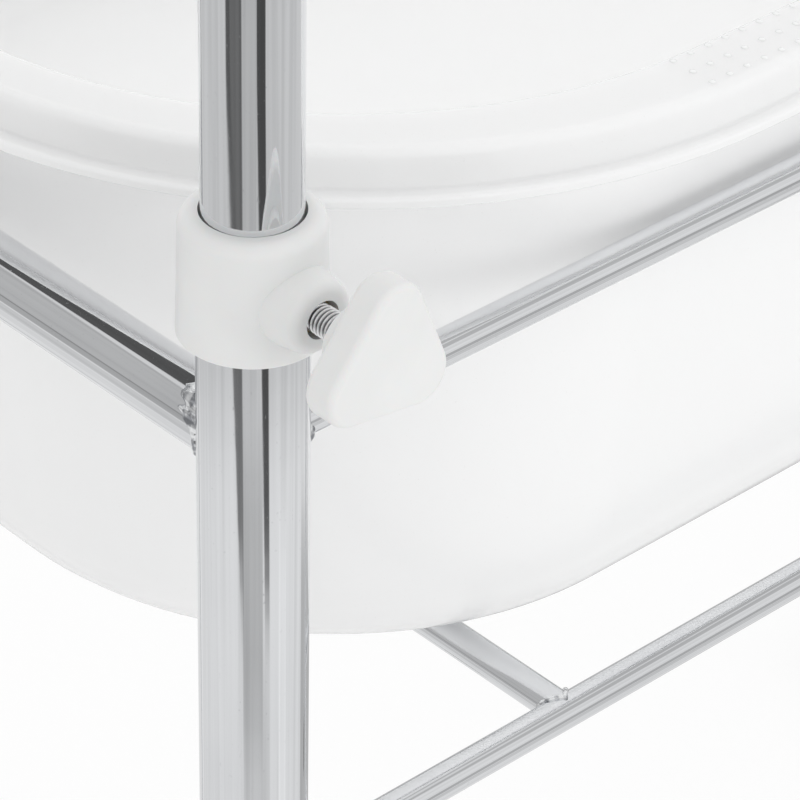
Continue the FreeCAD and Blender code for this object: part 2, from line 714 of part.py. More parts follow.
def makeFlange():
    """Turn the drain flange with its threaded tail and bridge the bore with a cross."""
    body = newBody("drain_flange")
    bore, tail, flange = "tail_bore / 2", "tail_dia / 2", "flange_dia / 2"
    spigot, relief = "spigot_dia / 2", "relief_dia / 2"
    spigotTop = "spigot_length - tail_length"
    threadEnd = "spigot_length + relief_width - tail_length"
    outline(sketchOn(body, "XZ_Plane"), [(bore, "-tail_length"), (spigot, "-tail_length"),
                                         (spigot, spigotTop), (relief, spigotTop), (relief, threadEnd),
                                         (tail, threadEnd), (tail, "0"), (flange, "0"),
                                         (flange, "flange_thick"), (bore, "flange_thick")])
    turn(body, body.Group[-1])
    half, across = "bridge_width / 2", "(tail_bore + tail_dia) / 4"
    for long_, wide in ((across, half), (half, across)):
        bar = sketchOn(body, "XY_Plane", "-bridge_drop")
        outline(bar, [("-" + long_, "-" + wide), (long_, "-" + wide), (long_, wide), ("-" + long_, wide)])
        pad(body, bar, "bridge_width / 2")
    centred(body, sump_floor)


def makeGasket():
    body = newBody("drain_gasket")
    ring(sketchOn(body, "XY_Plane"), "gasket_dia / 2", "tail_dia / 2 + tail_play")
    pad(body, body.Group[-1], "gasket_thick")
    centred(body, "%s - tub_floor - gasket_thick" % sump_floor)


def makeNut():
    """Pad a hexagon with the bore of the tail's thread."""
    body = newBody("drain_nut")
    sketch = sketchOn(body, "XY_Plane")
    outline(sketch, [("nut_dia / 2 * cos(%d)" % (60 * side), "nut_dia / 2 * sin(%d)" % (60 * side))
                     for side in range(6)])
    ring(sketch, "tail_dia / 2 + thread_play")
    pad(body, sketch, "nut_thick")
    centred(body, "%s - tub_floor - gasket_thick - nut_thick" % sump_floor)


def makeDrainPlug():
    """Turn the stopper with a groove for its seal, and stand the grip on it."""
    body = newBody("drain_plug")
    head, neck = "bung_head_dia / 2", "tail_bore / 2 - bung_play"
    groove = neck + " - seal_wire"
    foot = neck + " - bung_taper"
    low, high = "-bung_depth / 2 - seal_wire / 2", "-bung_depth / 2 + seal_wire / 2"
    outline(sketchOn(body, "XZ_Plane"), [("0", "-bung_depth"), (foot, "-bung_depth"), (neck, low),
                                         (groove, low), (groove, high), (neck, high), (neck, "0"),
                                         (head, "0"), (head, "bung_head"), ("0", "bung_head")])
    turn(body, body.Group[-1])
    soften(body, "bung_head / 3", flatAt(value("bung_head")))
    grip = sketchOn(body, "XY_Plane", "bung_head")
    long_, wide = "grip_length / 2", "grip_width / 2"
    outline(grip, [("-" + long_, "-" + wide), (long_, "-" + wide), (long_, wide), ("-" + long_, wide)])
    pad(body, grip, "grip_height")
    soften(body, "grip_width / 3", lambda edge: edge.BoundBox.ZMin > value("bung_head") - 0.01
           and edge.BoundBox.ZMax > value("bung_head + grip_height") - 0.01
           and edge.BoundBox.XMin > -value("grip_length"))
    centred(body, "%s + flange_thick + bung_play" % sump_floor)


def makePlugSeal():
    """Turn the ring that lies in the stopper's groove."""
    body = newBody("plug_seal")
    inner, outer = "tail_bore / 2 - bung_play - seal_wire", "tail_bore / 2 - bung_play / 2"
    low, high = "-bung_depth / 2 - seal_wire / 2", "-bung_depth / 2 + seal_wire / 2"
    outline(sketchOn(body, "XZ_Plane"), [(inner, low), (outer, low), (outer, high), (inner, high)])
    turn(body, body.Group[-1])
    centred(body, "%s + flange_thick + bung_play" % sump_floor)


# ---- build ---------------------------------------------------------------------------

posts = {name: makePost("post_" + name, x, y) for name, (x, y) in corners.items()}
drillPost(posts[mastCorner])
for name, (x, y) in corners.items():
    makeFoot("foot_" + name, x, y)
    if name != mastCorner:
        makeCap("post_cap_" + name, x, y)
for name, x in (("left", "0"), ("right", "span_long")):
    makeRail("end_rail_" + name, "y", "end_rail_dia", "end_rail_wall", x, "0", "rail_height")
for name, y in (("front", "0"), ("rear", "span_wide")):
    makeRail("side_rail_" + name, "x", "bar_dia", "bar_wall", "0", y, "rail_height")
    makeRail("lower_bar_" + name, "x", "bar_dia", "bar_wall", "0", y, lower_axis)
makeCrossMember("cross_member_left", "cross_inset")
makeCrossMember("cross_member_right", "span_long - cross_inset")
welds = makeWelds()
makeCollar()
makeInsert()
makeScrew()
makePressurePad()
makeKnob()
makeMast()
makeGlidePlug()
makeTipCap()
makeEye("tether_eye_outer", "eye_from_tip")
makeEye("tether_eye_inner", "(eye_from_tip + eye_pitch)")
makeTub()
makeFlange()
makeGasket()
makeNut()
makeDrainPlug()
makePlugSeal()
doc.recompute()

for item in doc.Objects:
    if "Invalid" in item.State or "Error" in item.State:
        raise ValueError("%s failed: %s" % (item.Name, item.State))

pieces = [item for item in doc.Objects if item.TypeId == "PartDesign::Body"] + [welds]
for piece in pieces:
    if piece.Shape.isNull() or not piece.Shape.isValid():
        raise ValueError(piece.Label + ": the shape is null or not valid")

os.makedirs("parts", exist_ok=True)
for piece in pieces:
    piece.Shape.exportStep("parts/%s.step" % piece.Label)
print("pieces written:", len(pieces))
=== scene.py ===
import bmesh
import bpy
import json
import math
import numpy as np
from mathutils import Matrix, Vector


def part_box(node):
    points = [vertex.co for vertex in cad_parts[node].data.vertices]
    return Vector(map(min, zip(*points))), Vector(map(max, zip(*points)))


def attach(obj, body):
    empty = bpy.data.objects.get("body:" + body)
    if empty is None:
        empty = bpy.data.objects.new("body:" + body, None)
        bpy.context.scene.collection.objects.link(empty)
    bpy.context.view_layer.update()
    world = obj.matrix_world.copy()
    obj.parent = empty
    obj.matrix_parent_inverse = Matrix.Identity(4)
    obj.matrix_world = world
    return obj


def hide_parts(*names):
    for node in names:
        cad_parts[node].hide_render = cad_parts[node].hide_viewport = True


# A pet bathtub on a chromed stand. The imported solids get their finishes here, and finer
# surfaces take the place of the tub, the weld beads and the clamp screw. Lengths in the
# pieces' dictionaries are in millimetres; those in finishes, lamps and camera are in metres.

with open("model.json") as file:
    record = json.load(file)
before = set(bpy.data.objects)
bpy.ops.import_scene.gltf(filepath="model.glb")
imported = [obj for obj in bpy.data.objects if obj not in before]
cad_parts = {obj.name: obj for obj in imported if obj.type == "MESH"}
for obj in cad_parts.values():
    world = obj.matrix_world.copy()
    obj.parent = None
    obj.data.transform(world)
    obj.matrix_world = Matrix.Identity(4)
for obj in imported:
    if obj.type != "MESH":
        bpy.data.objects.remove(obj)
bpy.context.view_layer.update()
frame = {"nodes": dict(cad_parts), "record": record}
nodes = frame["nodes"]
print("frame loaded:", len(nodes), "nodes")


class Link:
    # one output socket of a tree; arithmetic on it adds the Math nodes
    def __init__(self, tree, socket):
        self.tree = tree
        self.socket = socket

    def maths(self, operation, *values):
        return self.tree.node("ShaderNodeMath", {"operation": operation}, dict(enumerate(values)))

    def __add__(self, other):
        return self.maths("ADD", self, other)

    def __radd__(self, other):
        return self.maths("ADD", other, self)

    def __sub__(self, other):
        return self.maths("SUBTRACT", self, other)

    def __rsub__(self, other):
        return self.maths("SUBTRACT", other, self)

    def __mul__(self, other):
        return self.maths("MULTIPLY", self, other)

    def __rmul__(self, other):
        return self.maths("MULTIPLY", other, self)

    def __pow__(self, other):
        return self.maths("POWER", self, other)

    def __lt__(self, other):
        return self.maths("LESS_THAN", self, other)

    def spread(self, low, high, out=(0.0, 1.0)):
        # smooth step from out[0] at low to out[1] at high
        return self.tree.node("ShaderNodeMapRange", {"interpolation_type": "SMOOTHSTEP", "clamp": True},
                              {"Value": self, "From Min": low, "From Max": high,
                               "To Min": out[0], "To Max": out[1]})


class Tree:
    # a node tree with one way of making nodes
    def __init__(self, tree):
        self.tree = tree

    def node(self, kind, settings=None, inputs=None, output=0):
        made = self.tree.nodes.new(kind)
        for name, value in (settings or {}).items():
            setattr(made, name, value)
        for key, value in (inputs or {}).items():
            if isinstance(value, Link):
                self.tree.links.new(value.socket, made.inputs[key])
            else:
                made.inputs[key].default_value = value
        return Link(self, made.outputs[output]) if len(made.outputs) else None

    def axes(self, vector):
        return [self.node("ShaderNodeSeparateXYZ", {}, {0: vector}, axis) for axis in range(3)]


class Finish(Tree):
    # a Principled material whose patterns sit on the object's own coordinates
    def __init__(self, name, **fixed):
        self.material = bpy.data.materials.new(name)
        self.material.use_nodes = True
        super().__init__(self.material.node_tree)
        self.shader = self.tree.nodes["Principled BSDF"]
        for socket, value in fixed.items():
            self.shader.inputs[socket.replace("_", " ")].default_value = value
        self.place = self.node("ShaderNodeTexCoord", output="Object")

    def noise(self, scale, detail=3.0, rough=0.5, stretch=(1.0, 1.0, 1.0)):
        where = self.node("ShaderNodeMapping", {}, {"Vector": self.place, "Scale": stretch})
        return self.node("ShaderNodeTexNoise", {}, {"Vector": where, "Scale": scale, "Detail": detail,
                                                    "Roughness": rough}, "Fac")

    def blendColour(self, mask, first, second):
        # the first colour may be a link; sockets 0, 6 and 7 are the factor and the two colours
        colours = [colour if isinstance(colour, Link) else (*colour, 1.0) for colour in (first, second)]
        return self.node("ShaderNodeMix", {"data_type": "RGBA"},
                         {0: mask, 6: colours[0], 7: colours[1]}, 2)

    def feed(self, **links):
        for socket, link in links.items():
            self.tree.links.new(link.socket, self.shader.inputs[socket.replace("_", " ")])

    def bump(self, height, depth, strength):
        self.feed(Normal=self.node("ShaderNodeBump", {}, {"Height": height, "Distance": depth,
                                                          "Strength": strength}))


def chromeFinish():
    settings = {"colour": (0.80, 0.81, 0.825), "smoky": (0.70, 0.71, 0.73), "gloss": 0.045,
                "haze": 0.10}
    finish = Finish("polishedChrome", Metallic=1.0)
    cloud = finish.noise(9.0, 4.0, 0.6)
    wipe = finish.noise(60.0, 3.0, 0.6, (1.0, 1.0, 0.12))
    specks = finish.noise(900.0, 1.0).spread(0.70, 0.76)
    finish.feed(Base_Color=finish.blendColour(cloud.spread(0.35, 0.75) * 0.5 + specks * 0.25,
                                              settings["colour"], settings["smoky"]),
                Roughness=settings["gloss"] + wipe.spread(0.45, 0.8) * settings["haze"] * 0.4
                + specks * settings["haze"])
    finish.bump(finish.noise(35.0, 2.0) * 0.8 + wipe * 0.2, 0.00008, 0.5)
    return finish.material


def weldFinish():
    finish = Finish("chromedWeld", Metallic=1.0)
    heat = finish.noise(300.0, 3.0, 0.5)
    pits = finish.noise(1500.0, 2.0).spread(0.62, 0.72)
    finish.feed(Base_Color=finish.blendColour(heat.spread(0.42, 0.62), (0.90, 0.91, 0.92),
                                              (0.30, 0.31, 0.33)),
                Roughness=0.05 + heat * 0.08 + pits * 0.2)
    finish.bump(heat + pits * -0.2, 0.00008, 0.7)
    return finish.material


def tubFinish(name, glow):
    # glow is the share of light that enters the plastic and comes out again nearby
    settings = {"colour": (0.93, 0.932, 0.93), "cool": (0.918, 0.922, 0.922),
                "dust": (0.62, 0.61, 0.59)}
    finish = Finish(name, IOR=1.49, Coat_Weight=0.35, Coat_Roughness=0.06, Subsurface_Weight=glow,
                    Subsurface_Radius=(1.0, 1.0, 1.0), Subsurface_Scale=0.014)
    flow = finish.noise(3.5, 3.0, 0.5)
    skin = finish.noise(420.0, 2.0, 0.5)
    scuffs = finish.noise(70.0, 5.0, 0.7, (1.0, 0.25, 1.0)).spread(0.60, 0.82)
    dust = finish.noise(2200.0, 1.0).spread(0.73, 0.78)
    clean = finish.blendColour(flow.spread(0.3, 0.7), settings["colour"], settings["cool"])
    finish.feed(Base_Color=finish.blendColour(dust * 0.25, clean, settings["dust"]),
                Roughness=0.16 + scuffs * 0.10 + skin * 0.04)
    finish.bump(flow * 6.0 + skin * 0.06, 0.00010, 0.35)
    return finish.material


def clampFinish():
    finish = Finish("satinClampPlastic", IOR=1.47, Subsurface_Weight=0.08, Subsurface_Scale=0.002)
    grain = finish.noise(1400.0, 2.0, 0.6)
    flow = finish.noise(45.0, 3.0, 0.5)
    grime = finish.noise(110.0, 5.0, 0.7).spread(0.58, 0.80)
    clean = finish.blendColour(flow.spread(0.3, 0.7), (0.82, 0.825, 0.82), (0.795, 0.80, 0.795))
    finish.feed(Base_Color=finish.blendColour(grime * 0.10, clean, (0.58, 0.57, 0.55)),
                Roughness=0.30 + grain * 0.12)
    finish.bump(grain * 0.5 + flow * 2.0, 0.00005, 0.5)
    return finish.material


def capFinish():
    finish = Finish("satinCapPlastic", IOR=1.47)
    grain = finish.noise(1200.0, 2.0, 0.6)
    flow = finish.noise(60.0, 3.0, 0.5)
    finish.feed(Base_Color=finish.blendColour(flow.spread(0.3, 0.7), (0.79, 0.79, 0.785),
                                              (0.75, 0.75, 0.745)),
                Roughness=0.36 + grain * 0.12)
    finish.bump(grain, 0.00005, 0.4)
    return finish.material


def rubberFinish(name, dark, pale, dusty=0.4):
    finish = Finish(name, IOR=1.5)
    grain = finish.noise(1600.0, 3.0, 0.6)
    dust = finish.noise(55.0, 5.0, 0.7).spread(0.48, 0.78)
    finish.feed(Base_Color=finish.blendColour(dust * dusty, dark, pale), Roughness=0.62 + grain * 0.2)
    finish.bump(grain + dust * 0.5, 0.00008, 0.6)
    return finish.material


def brassFinish():
    finish = Finish("machinedBrass", Metallic=1.0)
    cloud = finish.noise(300.0, 4.0, 0.6)
    finish.feed(Base_Color=finish.blendColour(cloud.spread(0.4, 0.75), (0.76, 0.56, 0.26),
                                              (0.42, 0.29, 0.13)),
                Roughness=0.22 + cloud * 0.2)
    finish.bump(finish.noise(900.0, 2.0, 0.5, (1.0, 0.1, 1.0)), 0.00003, 0.5)
    return finish.material


def steelFinish():
    # painted shade darkens the grooves and the rolled crests stay bright: the mask is the
    # distance from the screw's axis, which runs along Y
    low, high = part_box("clamp_screw")
    screw = {"axisZ": (low[2] + high[2]) / 2, "groove": 0.00335, "crest": 0.00385,
             "bright": (0.90, 0.90, 0.91), "groovePaintedShade": (0.20, 0.20, 0.205)}
    finish = Finish("rolledThreadSteel", Metallic=1.0)
    cloud = finish.noise(700.0, 4.0, 0.6)
    x, _, z = finish.axes(finish.place)
    radius = (x * x + (z - screw["axisZ"]) ** 2) ** 0.5
    # the mask is 0 in the grooves, which take the painted shade, and 1 on the bright crests
    clearOfPaintedShade = radius.spread(screw["groove"], screw["crest"])
    finish.feed(Base_Color=finish.blendColour(clearOfPaintedShade * (1.05 - cloud.spread(0.40, 0.75) * 0.35),
                                              screw["groovePaintedShade"], screw["bright"]),
                Roughness=0.12 + cloud * 0.10 + (1 - clearOfPaintedShade) * 0.12)
    finish.bump(cloud, 0.00003, 0.6)
    return finish.material


def nylonFinish():
    finish = Finish("nylonPad", IOR=1.53, Subsurface_Weight=0.1, Subsurface_Scale=0.002)
    cloud = finish.noise(260.0, 4.0, 0.6)
    finish.feed(Base_Color=finish.blendColour(cloud.spread(0.35, 0.75), (0.76, 0.745, 0.70),
                                              (0.66, 0.64, 0.59)),
                Roughness=0.40 + cloud * 0.15)
    finish.bump(cloud, 0.00004, 0.4)
    return finish.material


def nutFinish():
    finish = Finish("blackNutPlastic", IOR=1.5)
    grain = finish.noise(1300.0, 3.0, 0.6)
    dust = finish.noise(80.0, 4.0, 0.7).spread(0.5, 0.8)
    finish.feed(Base_Color=finish.blendColour(dust * 0.3, (0.030, 0.030, 0.032), (0.11, 0.11, 0.11)),
                Roughness=0.42 + grain * 0.15)
    finish.bump(grain, 0.00006, 0.5)
    return finish.material


chrome = chromeFinish()
finishes = {
    "chrome_tube": chrome,
    "foot_rubber": rubberFinish("footRubber", (0.035, 0.035, 0.037), (0.13, 0.125, 0.12)),
    "cap_plastic": capFinish(),
    "clamp_plastic": clampFinish(),
    "insert_brass": brassFinish(),
    "screw_steel": steelFinish(),
    "pad_nylon": nylonFinish(),
    "tub_plastic": tubFinish("glossTubPlastic", 0.6),
    "drain_steel": chrome,
    "seal_rubber": rubberFinish("sealRubber", (0.028, 0.028, 0.030), (0.07, 0.07, 0.07), 0.2),
    "nut_plastic": nutFinish(),
    "plug_rubber": rubberFinish("plugRubber", (0.050, 0.050, 0.053), (0.12, 0.118, 0.115), 0.25),
}
nodeSlots = {part["node"]: part["material_slot"] for part in frame["record"]["subparts"]}
for name, node in nodes.items():
    for holder in node.material_slots:
        holder.material = finishes[nodeSlots[name]]
print("finishes ready:", len(finishes))


def showPiece(name, mesh, body, material):
    # a smooth-shaded mesh becomes a piece that rides on its body
    mesh.polygons.foreach_set("use_smooth", np.ones(len(mesh.polygons), dtype=bool))
    piece = bpy.data.objects.new(name, mesh)
    bpy.context.scene.collection.objects.link(piece)
    piece.data.materials.append(material)
    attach(piece, body)
    return piece


def meshPiece(name, body, shells, replaced, material):
    # join shells of (points, faces), merge poles and turn the faces outwards; the solid that
    # the piece replaces is hidden
    points, faces, start = [], [], 0
    for shellPoints, shellFaces in shells:
        points.append(shellPoints.reshape(-1, 3))
        faces.append(shellFaces + start)
        start += len(points[-1])
    points, faces = np.concatenate(points), np.concatenate(faces)
    mesh = bpy.data.meshes.new(name)
    mesh.from_pydata(points.tolist(), [], faces.tolist())
    work = bmesh.new()
    work.from_mesh(mesh)
    bmesh.ops.remove_doubles(work, verts=work.verts, dist=1e-7)
    bmesh.ops.dissolve_degenerate(work, edges=work.edges, dist=1e-8)
    bmesh.ops.recalc_face_normals(work, faces=work.faces)
    work.to_mesh(mesh)
    work.free()
    piece = showPiece(name, mesh, body, material)
    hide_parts(replaced)


def gridFaces(rows, columns, aroundRows=True):
    # each cell of the grid becomes a four-cornered face; the columns always close round
    a, b = np.meshgrid(np.arange(rows if aroundRows else rows - 1), np.arange(columns), indexing="ij")
    nextA, nextB = (a + 1) % rows, (b + 1) % columns
    return np.stack([a * columns + b, nextA * columns + b, nextA * columns + nextB,
                     a * columns + nextB], axis=-1).reshape(-1, 4)


def roundedLine(corners, steps, hold=0.4, most=0.98):
    # a closed polygon of (x, y, radius) with each corner turned into an arc tangent to both sides:
    # the arc's ends lie radius / tan(half angle) from the corner, and a point is added
    # hold times the radius before and after it, within most of the side, so that the shading
    # stays tight
    corners = np.array(corners, dtype=float)
    count = len(corners)
    line = []
    for number in range(count):
        here = corners[number, :2]
        radius = corners[number, 2]
        if radius <= 0:
            line.append(here[None, :])
            continue
        back = corners[(number - 1) % count, :2] - here
        ahead = corners[(number + 1) % count, :2] - here
        backLength, aheadLength = np.linalg.norm(back), np.linalg.norm(ahead)
        back, ahead = back / backLength, ahead / aheadLength
        half = math.acos(max(-1.0, min(1.0, float(back @ ahead)))) / 2
        reach = radius / math.tan(half)
        middle = here + (back + ahead) / np.linalg.norm(back + ahead) * radius / math.sin(half)
        first, last = here + back * reach - middle, here + ahead * reach - middle
        sweep = math.atan2(first[0] * last[1] - first[1] * last[0], float(first @ last))
        angles = np.linspace(0, sweep, steps + 1)[:, None]
        side = np.array([-first[1], first[0]])
        arc = middle + np.cos(angles) * first + np.sin(angles) * side
        before = here + back * min(reach + hold * radius, most * backLength)
        after = here + ahead * min(reach + hold * radius, most * aheadLength)
        line.extend([before[None, :], arc, after[None, :]])
    return np.concatenate(line)


mm = 0.001
# shared by the pieces: distances between the posts' axes, heights of the rails' and lower bars'
# axes, and where the flat top of the rim ends, inwards from the posts' axes
stand = {"spanLong": 800.0, "spanWide": 450.0, "railHeight": 740.0, "barHeight": 594.0,
         "rimInSide": 3.54, "rimInEnd": 15.44}


def ringPlan(columns=28, straight=8):
    # one turn round a rounded rectangle: four quarter arcs joined by straight runs.
    # Each place is (how far from the left centre to the right one, how far from the front centre
    # to the rear one, outward direction), so any inset rounded rectangle or circle shares it
    quarter = np.linspace(0, math.pi / 2, columns + 1)
    run = np.linspace(0, 1, straight + 2)[1:-1]
    acrossX, acrossY, angle = [], [], []
    centres = [(0, 0), (1, 0), (1, 1), (0, 1), (0, 0)]
    for number in range(4):
        first, last = centres[number], centres[number + 1]
        acrossX += [np.full(columns + 1, float(first[0])), first[0] + (last[0] - first[0]) * run]
        acrossY += [np.full(columns + 1, float(first[1])), first[1] + (last[1] - first[1]) * run]
        angle += [math.pi + number * math.pi / 2 + quarter,
                  np.full(straight, math.pi * 1.5 + number * math.pi / 2)]
    angle = np.concatenate(angle)
    return np.concatenate(acrossX), np.concatenate(acrossY), np.cos(angle), np.sin(angle)


def tubPiece():
    tub = {"wall": 3.5, "floor": 4.0, "rimDrop": 15.3, "lip": 3.4, "sumpDepth": 10.0, "baseEdge": 25.0,
           "steps": 9}
    low, high = (np.array(corner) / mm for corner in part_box("tub_shell"))
    flangeLow, flangeHigh = (np.array(corner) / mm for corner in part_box("drain_flange"))
    middle, drain = (low + high) / 2, (flangeLow + flangeHigh) / 2
    top, base, under = high[2], low[2] + tub["sumpDepth"], high[2] - tub["wall"]
    # side inset of the wall from the posts' axes, the matching end inset and plan radius: the
    # last three places are round, about the drain
    sideInset = [-22.86, -18.36, 0.04, stand["rimInSide"], 27.67, 60.0, 184.5, 188.0, 203.75]
    endInset = [-6.06, -1.56, 11.94, stand["rimInEnd"], 39.57, 90.0, 359.5, 363.0, 378.75]
    planRadius = [162.5, 158.0, 142.0, 138.5, 114.37, 88.0, 40.5, 37.0, 21.25]
    lipBottom, lipTop = top - tub["rimDrop"], top - tub["rimDrop"] + tub["lip"]
    well, sole = base + tub["floor"] - tub["sumpDepth"], base - tub["sumpDepth"]
    # the wall's section at the front side, as (inset from the front posts' axes, height, corner radius)
    corners = [(-14.86, lipBottom, 0.6), (-22.86, lipBottom, 1.2), (-22.86, lipTop, 1.2),
               (-18.36, lipTop, 0.9), (-18.36, top, 3.0), (stand["rimInSide"], top, 3.0),
               (27.67, base + tub["floor"], tub["baseEdge"] - tub["wall"]),
               (60.0, base + tub["floor"], 0), (188.0, base + tub["floor"], 0.9), (188.0, well, 0.9),
               (203.75, well, 0.3), (203.75, sole, 0.3), (184.5, sole, 0.9), (184.5, base, 0.6),
               (60.0, base, 0), (24.67, base, tub["baseEdge"]), (0.48, under, 1.2),
               (-14.86, under, 1.0)]
    line = roundedLine(corners, steps=tub["steps"])
    acrossX, acrossY, cosine, sine = ringPlan()
    left = np.interp(line[:, 0], sideInset, endInset)[:, None]
    radius = np.interp(line[:, 0], sideInset, planRadius)[:, None]
    front = line[:, 0][:, None]
    # the floor's rings move over to the drain between the floor's edge and the sump
    toDrain = np.interp(line[:, 0], sideInset[5:7], [0.0, 1.0])[:, None] * (drain - middle)[:2]
    x = left + radius + acrossX * 2 * (middle[0] - left - radius) + radius * cosine + toDrain[:, :1]
    y = front + radius + acrossY * 2 * (middle[1] - front - radius) + radius * sine + toDrain[:, 1:]
    z = np.broadcast_to(line[:, 1][:, None], x.shape)
    points = np.stack([x, y, z], axis=-1) * mm
    meshPiece("tubShell", "tub", [(points, gridFaces(*x.shape))], "tub_shell",
              finishes["tub_plastic"])


def rimDots():
    # small domes in rows on the straight runs of the rim: height = rise * (1 - (r / foot)^2).
    # Each has rings of corners on the way in from its foot, which is sunk, then its top's point
    dots = {"pitch": 6.5, "foot": 1.25, "rise": 0.32, "rows": (2.9, 10.0, 17.1), "endRows": (2.9, 10.0),
            "start": 145.0, "corners": 8, "rings": (1.0, 0.72, 0.38), "sunk": 0.2, "slack": 0.01}
    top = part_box("tub_shell")[1][2] / mm
    count, foot, rise, start, slack = (dots[key] for key in ("corners", "foot", "rise", "start",
                                                             "slack"))
    places = []
    alongX = np.arange(start, stand["spanLong"] - start + slack, dots["pitch"])
    alongY = np.arange(start, stand["spanWide"] - start + slack, dots["pitch"])
    for row in dots["rows"]:
        for y in (stand["rimInSide"] - row, stand["spanWide"] - stand["rimInSide"] + row):
            places.append(np.stack([alongX, np.full_like(alongX, y)], axis=-1))
    for row in dots["endRows"]:
        for x in (stand["rimInEnd"] - row, stand["spanLong"] - stand["rimInEnd"] + row):
            places.append(np.stack([np.full_like(alongY, x), alongY], axis=-1))
    places = np.concatenate(places)
    angles = np.linspace(0, 2 * math.pi, count, endpoint=False)
    unit = [np.stack([ring * np.cos(angles), ring * np.sin(angles),
                      np.full(count, (1 - ring ** 2) * rise / foot)], axis=-1)
            for ring in dots["rings"]]
    unit = np.concatenate(unit + [np.array([[0, 0, rise / foot]])]) * foot
    unit[:count, 2] -= dots["sunk"]
    here = np.arange(count)
    turn = (here + 1) % count
    side = np.stack([here, turn, turn + count, here + count], axis=-1)
    quads = np.concatenate([side, side + count])
    triangles = np.stack([here + 2 * count, turn + 2 * count, np.full(count, 3 * count)], axis=-1)
    sole = np.array([[3, 2, 1, 0], [5, 4, 3, 0], [7, 6, 5, 0]])
    centres = np.concatenate([places, np.full((len(places), 1), top)], axis=-1)
    points = ((centres[:, None, :] + unit[None]) * mm).reshape(-1, 3)
    lift = np.arange(len(places))[:, None, None] * len(unit)
    polygons = ((quads[None] + lift).reshape(-1, 4).tolist()
                + (triangles[None] + lift).reshape(-1, 3).tolist()
                + (sole[None] + lift).reshape(-1, 4).tolist())
    mesh = bpy.data.meshes.new("rimDots")
    mesh.from_pydata(points.tolist(), [], polygons)
    # such small domes would lose the light that enters them, so their finish has no glow
    showPiece("rimDots", mesh, "tub", tubFinish("glossDotPlastic", 0.0))


tubPiece()
rimDots()
print("tub ready")


def weldBeads():
    # a bead follows the line where a bar of radius r meets a tube of radius R:
    # place = r (cos a h + sin a k) + u sqrt(R^2 - r^2 cos^2 a), with u along the bar, k along
    # the tube and h = k x u; its section is a small circle whose radius ripples with each puddle
    # and wanders a little
    weld = {"rail": 10.0, "bar": 5.0, "crossAt": (116.0, 684.0),
            "throat": 1.25, "thin": 0.04, "ripple": 0.13, "wander": 0.14, "waveShare": 0.4,
            "puddle": 2.1, "drift": 0.15,
            "heap": 1.5, "heapSpread": 0.14, "lumpAlong": 5.4, "dimples": 0.22, "restDimples": 0.2,
            "lumps": ((8, 1), (11, 2), (14, -1), (6, -2)), "waves": (1, 2, 3, 5),
            "turns": 192, "section": 24, "seed": 7}
    low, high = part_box("post_front_left")
    post = (high[0] - low[0]) / 2 / mm
    rail, bar, railZ, barZ = weld["rail"], weld["bar"], stand["railHeight"], stand["barHeight"]
    # a seat is (where the axes meet, along the bar, along the tube, bar's radius, tube's radius,
    # the side where the puddle heaps up, how much of the heap it has)
    seats = []
    for x, signX in ((0.0, 1), (stand["spanLong"], -1)):
        for y, signY in ((0.0, 1), (stand["spanWide"], -1)):
            seats.append(((x, y, railZ), (0, signY, 0), (0, 0, 1), rail, post, (-signX, 0, 1.05), 1.0))
            seats.append(((x, y, railZ), (signX, 0, 0), (0, 0, 1), bar, post, (0, -signY, -0.35), 0.3))
            seats.append(((x, y, barZ), (signX, 0, 0), (0, 0, 1), bar, post, (0, -signY, -0.35), 0.3))
    for x in weld["crossAt"]:
        seats.append(((x, 0.0, barZ), (0, 1, 0), (1, 0, 0), bar, bar, (0, 0, -1), 0.1))
        seats.append(((x, stand["spanWide"], barZ), (0, -1, 0), (1, 0, 0), bar, bar, (0, 0, -1), 0.1))
    dice = np.random.default_rng(weld["seed"])
    a = np.linspace(0, 2 * math.pi, weld["turns"], endpoint=False)
    section = np.linspace(0, 2 * math.pi, weld["section"], endpoint=False)
    shells = []
    for seat, u, k, radius, tube, outside, share in seats:
        u, k = np.array(u, dtype=float), np.array(k, dtype=float)
        h = np.cross(k, u)
        out = np.cos(a)[:, None] * h + np.sin(a)[:, None] * k
        along = np.sqrt(np.maximum(tube ** 2 - (radius * np.cos(a)) ** 2, 0.0))
        centre = np.array(seat) + out * radius + along[:, None] * u
        puddles = round(2 * math.pi * radius / weld["puddle"])
        phase = (a * puddles / (2 * math.pi) + weld["drift"] * np.sin(3 * a + dice.uniform(0, 6))) % 1.0
        scallop = 1 - weld["ripple"] * (2 * phase - 1) ** 2
        wander = sum(np.sin(count * a + dice.uniform(0, 6)) / count for count in weld["waves"])
        wander = wander * weld["waveShare"]
        thick = weld["throat"] * scallop * (1 + weld["wander"] * wander - weld["thin"])
        # where the torch started, the puddle heaps up in lumps and spreads along the bar:
        # heaped = share * exp(-((1 - cosine of the angle from that side) / spread)^2), and each
        # wave of the lumps has its turns round the bar and its turns round the section
        facing = out @ np.array(outside) / np.linalg.norm(outside)
        heaped = share * np.exp(-((1 - facing) / weld["heapSpread"]) ** 2)[:, None, None]
        swirl = sum(np.sin(count * a[:, None] * radius / bar + turns * section[None, :]
                           + dice.uniform(0, 6)) for count, turns in weld["lumps"])[..., None] / 4
        ring = (np.cos(section)[None, :, None] * out[:, None, :] * (1 + weld["heap"] * heaped)
                + np.sin(section)[None, :, None] * u * (1 + (weld["lumpAlong"] - 1) * heaped))
        ring = ring * (1 + weld["dimples"] * swirl * (weld["restDimples"] + heaped))
        points = (centre[:, None, :] + ring * thick[:, None, None]) * mm
        shells.append((points, gridFaces(weld["turns"], weld["section"])))
    meshPiece("weldBeads", "stand", shells, "weld_beads", weldFinish())


weldBeads()
print("welds ready")


